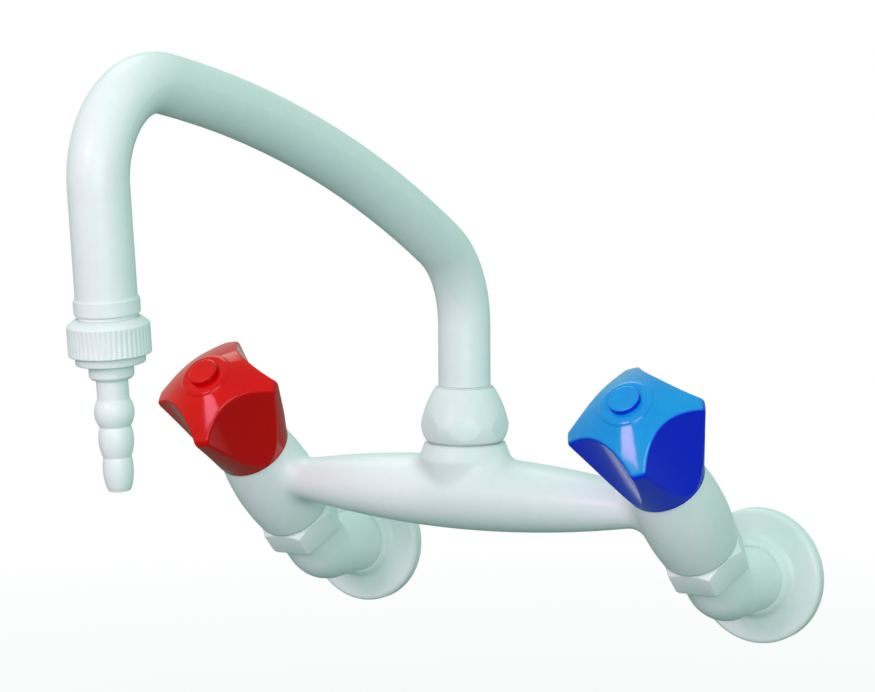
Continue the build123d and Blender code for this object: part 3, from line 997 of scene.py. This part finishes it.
@dataclass
class Handle:
    """One knob with its screw and its index cap."""

    book: FinishBook
    side: Side

    @property
    def slot(self) -> Slot:
        """Red for hot, blue for cold."""
        return Slot.RED if self.side is Side.HOT else Slot.BLUE

    def dress(self) -> None:
        """Finishes the knob, its cap and its screw."""
        word = self.side.word
        self.book.dress(node(f"{word}_knob"), self.slot)
        self.book.dress(node(f"{word}_knob_cap"), self.slot)
        self.book.dress(node(f"{word}_knob_screw"), Slot.STEEL)
        log.info("%s handle dressed", word)


@dataclass
class SwanNeck:
    """The swivelling spout, its sleeve and seals, and the domed nut that holds it."""

    book: FinishBook
    layout: Layout
    nut_foot: Pair = (16.2, 62.1)
    nut_foot_curve: Pair = (17.95, 65.6)
    nut_belly: Pair = (18.5, 69.1)
    nut_dome_curve: Pair = (16.3, 76.95)
    nut_crown: Pair = (12.35, 84.75)
    nut_flats: float = 34.4
    foot_steps: int = 8
    dome_steps: int = 18
    thread_radius: float = 14.6
    thread_end: float = 74.15
    hole_radius: float = 11.3
    edge_round: float = 0.3
    edge_angle: float = 14.0
    bead_bore: float = 11.05
    bead_radius: float = 12.0
    bead_height: float = 0.7
    bead_depth: float = 1.0
    bead_lift: float = 0.02
    bead_clearance: float = 0.05
    bead_hollow: float = 0.1
    bead_steps: int = 6
    bead_smooth_angle: float = 50.0

    def nut(self) -> None:
        """Turns the domed spout nut, cuts its six shallow flats and softens its edges."""
        profile = [
            (self.thread_radius, self.nut_foot[1]),
            self.nut_foot,
            *Bench.arc(self.nut_foot, self.nut_foot_curve, self.nut_belly, self.foot_steps),
            *Bench.arc(self.nut_belly, self.nut_dome_curve, self.nut_crown, self.dome_steps),
            (self.hole_radius, self.nut_crown[1]),
            (self.hole_radius, self.thread_end),
            (self.thread_radius, self.thread_end),
        ]
        nut = Bench.grow_wall("domed_spout_nut", profile)
        Bench.cut_flats(self.nut_flats, 0.0)
        Bench.soften(nut, self.edge_round, self.edge_angle)
        Bench.settle(nut, self.layout.on_swivel())
        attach(nut, "bridge")
        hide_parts("spout_nut")
        self.book.dress(nut, Slot.WHITE)

    def bead(self) -> None:
        """Makes the thin coated bead that closes the nut's hole round the tube."""
        top = self.nut_crown[1]
        seat, neck = top + self.bead_lift, self.hole_radius - self.bead_clearance
        rim, peak = (self.bead_radius, seat), (self.bead_bore, top + self.bead_height)
        swell = tuple((outer + inner) / 2 - self.bead_hollow for outer, inner in zip(rim, peak))
        profile = [
            (self.bead_bore, top - self.bead_depth),
            (neck, top - self.bead_depth),
            (neck, seat),
            rim,
            *Bench.arc(rim, swell, peak, self.bead_steps),
        ]
        bead = Bench.grow_wall("spout_nut_bead", profile)
        Bench.settle(bead, self.layout.on_swivel(), self.bead_smooth_angle)
        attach(bead, "bridge")
        self.book.dress(bead, Slot.WHITE)

    def dress(self) -> None:
        """Models the spout nut and its bead, and finishes the spout's solids."""
        for name in ("spout_tube", "outlet_ferrule"):
            self.book.dress(node(name), Slot.WHITE)
        self.nut()
        self.bead()
        self.book.dress(node("spout_sleeve"), Slot.BRASS)
        self.book.dress(node("spout_seals"), Slot.RUBBER)
        for name in ("spout_lower_slip_ring", "spout_upper_slip_ring"):
            self.book.dress(node(name), Slot.SLIP)
        log.info("swan-neck spout dressed")


@dataclass
class HoseOutlet:
    """The hose nozzle, its gasket, and the knurled collar that holds it."""

    book: FinishBook
    layout: Layout
    mouth_radius: float = 11.6
    mouth: float = 7.0
    slope_end: float = 9.4
    collar_radius: float = 14.7
    shoulder: float = 20.1
    step_radius: float = 12.4
    step_end: float = 23.3
    shelf: float = 20.5
    thread_radius: float = 10.6
    hole_radius: float = 8.3
    edge_round: float = 0.3
    ribs: int = 48
    rib_columns: int = 6
    rib_depth: float = 0.32
    rib_fade: float = 0.9
    groove: tuple[tuple[int, float], ...] = ((2, 0.5), (3, 1.0), (4, 0.5))
    groove_slack: float = 0.1
    bevel_width: float = 0.12
    bevel_angle: float = 42.0
    bevel_steps: int = 2
    smooth_angle: float = 46.0

    def collar(self) -> None:
        """Turns the collar and presses shallow grooves into its band, which leaves soft ribs."""
        radius, soft = self.collar_radius, self.edge_round
        low, high = self.slope_end + self.rib_fade, self.shoulder - self.rib_fade
        profile = [
            (self.thread_radius, self.mouth),
            (self.mouth_radius, self.mouth),
            (radius - soft, self.slope_end - soft / 2),
            (radius, self.slope_end + soft),
            (radius, low),
            (radius, high),
            (radius, self.shoulder - soft),
            (radius - soft, self.shoulder),
            (self.step_radius, self.shoulder),
            (self.step_radius, self.step_end - soft),
            (self.step_radius - soft, self.step_end),
            (self.hole_radius, self.step_end),
            (self.hole_radius, self.shelf),
            (self.thread_radius, self.shelf),
        ]
        columns = self.ribs * self.rib_columns
        collar = Bench.grow_wall("knurled_collar", profile, columns)
        for offset, share in self.groove:

            def in_groove(point: Vector) -> bool:
                """Says whether a point of the band lies on this column of a groove."""
                turn = math.atan2(point.y, point.x) / math.tau
                on_column = round(turn * columns) % self.rib_columns == offset
                on_band = math.hypot(point.x, point.y) / MM > radius - soft / 2
                slack = self.groove_slack
                return on_column and on_band and low - slack < point.z / MM < high + slack

            Bench.pick_points(collar, in_groove)
            inwards = 1 - self.rib_depth * share / radius
            bpy.ops.transform.resize(value=(inwards, inwards, 1), center_override=(0, 0, 0))
        Bench.soften(collar, self.bevel_width, self.bevel_angle, self.bevel_steps)
        Bench.settle(collar, self.layout.on_outlet(), self.smooth_angle)
        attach(collar, "collar")
        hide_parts("nozzle_collar")
        self.book.dress(collar, Slot.WHITE)

    def dress(self) -> None:
        """Models the collar and finishes the outlet's solids."""
        self.book.dress(node("hose_nozzle"), Slot.WHITE)
        self.book.dress(node("nozzle_gasket"), Slot.RUBBER)
        self.collar()
        log.info("hose outlet dressed")


@dataclass(frozen=True)
class Lamp:
    """One soft square lamp: its place and its side in millimetres, its power in watts."""

    name: str
    place: Triple
    size: float
    power: float
    colour: Triple


@dataclass
class Studio:
    """A pale floor, soft lamps, and the camera at the photograph's viewing angle.

    Attributes:
        camera_place: Where the camera stands, in millimetres.
        yaw: How far the camera is turned to the left, in degrees.
        pitch: How far it looks down, in degrees.
        roll: How far it is rolled, in degrees.
        focal_share: The focal length as a share of the frame's width.
        sensor_width: The frame's width, in millimetres.
        clip: The nearest and the farthest that it sees, in millimetres.
        aim: Where the lamps face, in millimetres.
        lamps: The key lamp, a broad low fill lamp and a weak rim lamp behind.
        room_colour: The colour of the even light that comes from all round.
        room_strength: How strong that light is.
        floor_drop: How far the floor lies below the wall's origin, in millimetres.
        floor_radius: How far the floor reaches, in millimetres.
        floor_colour: The floor's colour as the camera sees it.
        bounce_colour: The floor's colour as it lights and mirrors in the tap.
        floor_fade: Where the floor begins to fade to white and where it ends, in millimetres.
        floor_glow: The share of white in it before it fades.
    """

    camera_place: Triple = (611.68, -1130.76, 233.95)
    yaw: float = 30.76
    pitch: float = 6.2
    roll: float = -0.41
    focal_share: float = 2906.1 / 875
    sensor_width: float = 36.0
    clip: Pair = (50.0, 50000.0)
    aim: Triple = (0.0, -150.0, 90.0)
    lamps: tuple[Lamp, ...] = (
        Lamp("key_lamp", (-600.0, -4700.0, 2000.0), 1500.0, 91.0, (1.0, 0.46, 0.72)),
        Lamp("front_fill", (2600.0, -3600.0, 350.0), 2600.0, 102.0, (0.98, 0.97, 0.98)),
        Lamp("rim_lamp", (-1500.0, 1000.0, 2600.0), 1500.0, 19.0, (0.8, 1.0, 0.9)),
    )
    room_colour: tuple[float, ...] = (0.69, 0.99, 0.86, 1.0)
    room_strength: float = 0.725
    floor_drop: float = 250.0
    floor_radius: float = 4000.0
    floor_colour: tuple[float, ...] = (0.86, 0.86, 0.86, 1.0)
    bounce_colour: tuple[float, ...] = (0.16, 0.26, 0.24, 1.0)
    floor_fade: Pair = (500.0, 1600.0)
    floor_glow: float = 0.7

    def camera(self) -> None:
        """Sets the scene's camera."""
        bpy.ops.object.camera_add()
        camera = bpy.context.object
        camera.name = "photo_camera"
        yaw, pitch, roll = (math.radians(a) for a in (self.yaw, self.pitch, self.roll))
        ahead = Vector(
            (-math.sin(yaw) * math.cos(pitch), math.cos(yaw) * math.cos(pitch), -math.sin(pitch))
        )
        across = ahead.cross(Vector((0, 0, 1))).normalized()
        up = across.cross(ahead)
        right = across * math.cos(roll) + up * math.sin(roll)
        top = up * math.cos(roll) - across * math.sin(roll)
        turn = Matrix((right, top, -ahead)).transposed().to_4x4()
        camera.matrix_world = Matrix.Translation(Vector(self.camera_place) * MM) @ turn
        camera.data.sensor_width = self.sensor_width
        camera.data.lens = self.focal_share * self.sensor_width
        camera.data.clip_start, camera.data.clip_end = (reach * MM for reach in self.clip)
        bpy.context.scene.camera = camera
        log.info("camera set")

    def light(self) -> None:
        """Sets the lamps, which all face the tap."""
        for lamp in self.lamps:
            place = Vector(lamp.place)
            bpy.ops.object.light_add(type="AREA", location=place * MM)
            light = bpy.context.object
            light.name = lamp.name
            light.data.shape = "SQUARE"
            light.data.size = lamp.size * MM
            light.data.energy = lamp.power
            light.data.color = lamp.colour
            towards = (Vector(self.aim) - place).normalized()
            light.rotation_mode = "QUATERNION"
            light.rotation_quaternion = towards.to_track_quat("-Z", "Y")
        log.info("lamps set")

    def backdrop(self) -> None:
        """Makes the world white to the camera, and a soft pale green-grey light elsewhere."""
        world = bpy.data.worlds.new("studio_room")
        bpy.context.scene.world = world
        w = Wiring.anew(world)
        even = {"Color": self.room_colour, "Strength": self.room_strength}
        room = w.add("ShaderNodeBackground", even)
        white = w.add("ShaderNodeBackground", {"Color": WHITE_LIGHT, "Strength": 1.0})
        both = w.mix(w.seen(), room.outputs["Background"], white.outputs["Background"])
        w.add("ShaderNodeOutputWorld", {"Surface": both})

    def floor(self) -> None:
        """Lays the pale floor, which keeps the tap's shadow and fades out far away."""
        Bench.clear()
        bpy.ops.mesh.primitive_circle_add(
            vertices=RING_POINTS,
            radius=self.floor_radius * MM,
            fill_type="NGON",
            location=(0, 0, -self.floor_drop * MM),
        )
        floor = bpy.context.object
        floor.name = "studio_floor"
        material = bpy.data.materials.new("studio_floor")
        w = Wiring.anew(material)
        place = w.add("ShaderNodeTexCoord").outputs["Object"]
        length = w.add("ShaderNodeVectorMath", {0: place}, operation="LENGTH")
        near, end = (edge * MM for edge in self.floor_fade)
        far = w.stretch(length.outputs["Value"], near, end)
        fading = w.math("MULTIPLY", far, 1 - self.floor_glow)
        seen = w.seen()
        share = w.math("MULTIPLY", seen, w.math("ADD", fading, self.floor_glow))
        lit = w.add("ShaderNodeBsdfDiffuse", {"Color": self.floor_colour})
        bounce = w.add("ShaderNodeBsdfDiffuse", {"Color": self.bounce_colour})
        glow = w.add("ShaderNodeEmission", {"Color": WHITE_LIGHT, "Strength": 1.0})
        clear = w.add("ShaderNodeBsdfTransparent")
        side = w.add("ShaderNodeNewGeometry")
        ground = w.mix(seen, bounce.outputs["BSDF"], lit.outputs["BSDF"])
        top = w.mix(share, ground, glow.outputs["Emission"])
        both = w.mix(side.outputs["Backfacing"], top, clear.outputs["BSDF"])
        w.add("ShaderNodeOutputMaterial", {"Surface": both})
        floor.data.materials.append(material)
        log.info("floor laid")

    def build(self) -> None:
        """Sets up the whole studio."""
        bpy.context.scene.view_settings.view_transform = "Standard"
        self.backdrop()
        self.floor()
        self.light()
        self.camera()


def main() -> None:
    """Dresses the tap piece by piece and sets up the studio."""
    logging.basicConfig(level=logging.INFO, format="%(name)s: %(message)s")
    book = FinishBook()
    book.build()
    layout = Layout()
    BridgeBody(book).dress()
    for side in Side:
        Inlet(book, layout, side).dress()
        Handle(book, side).dress()
    SwanNeck(book, layout).dress()
    HoseOutlet(book, layout).dress()
    Studio().build()


if __name__ == "__main__":
    main()
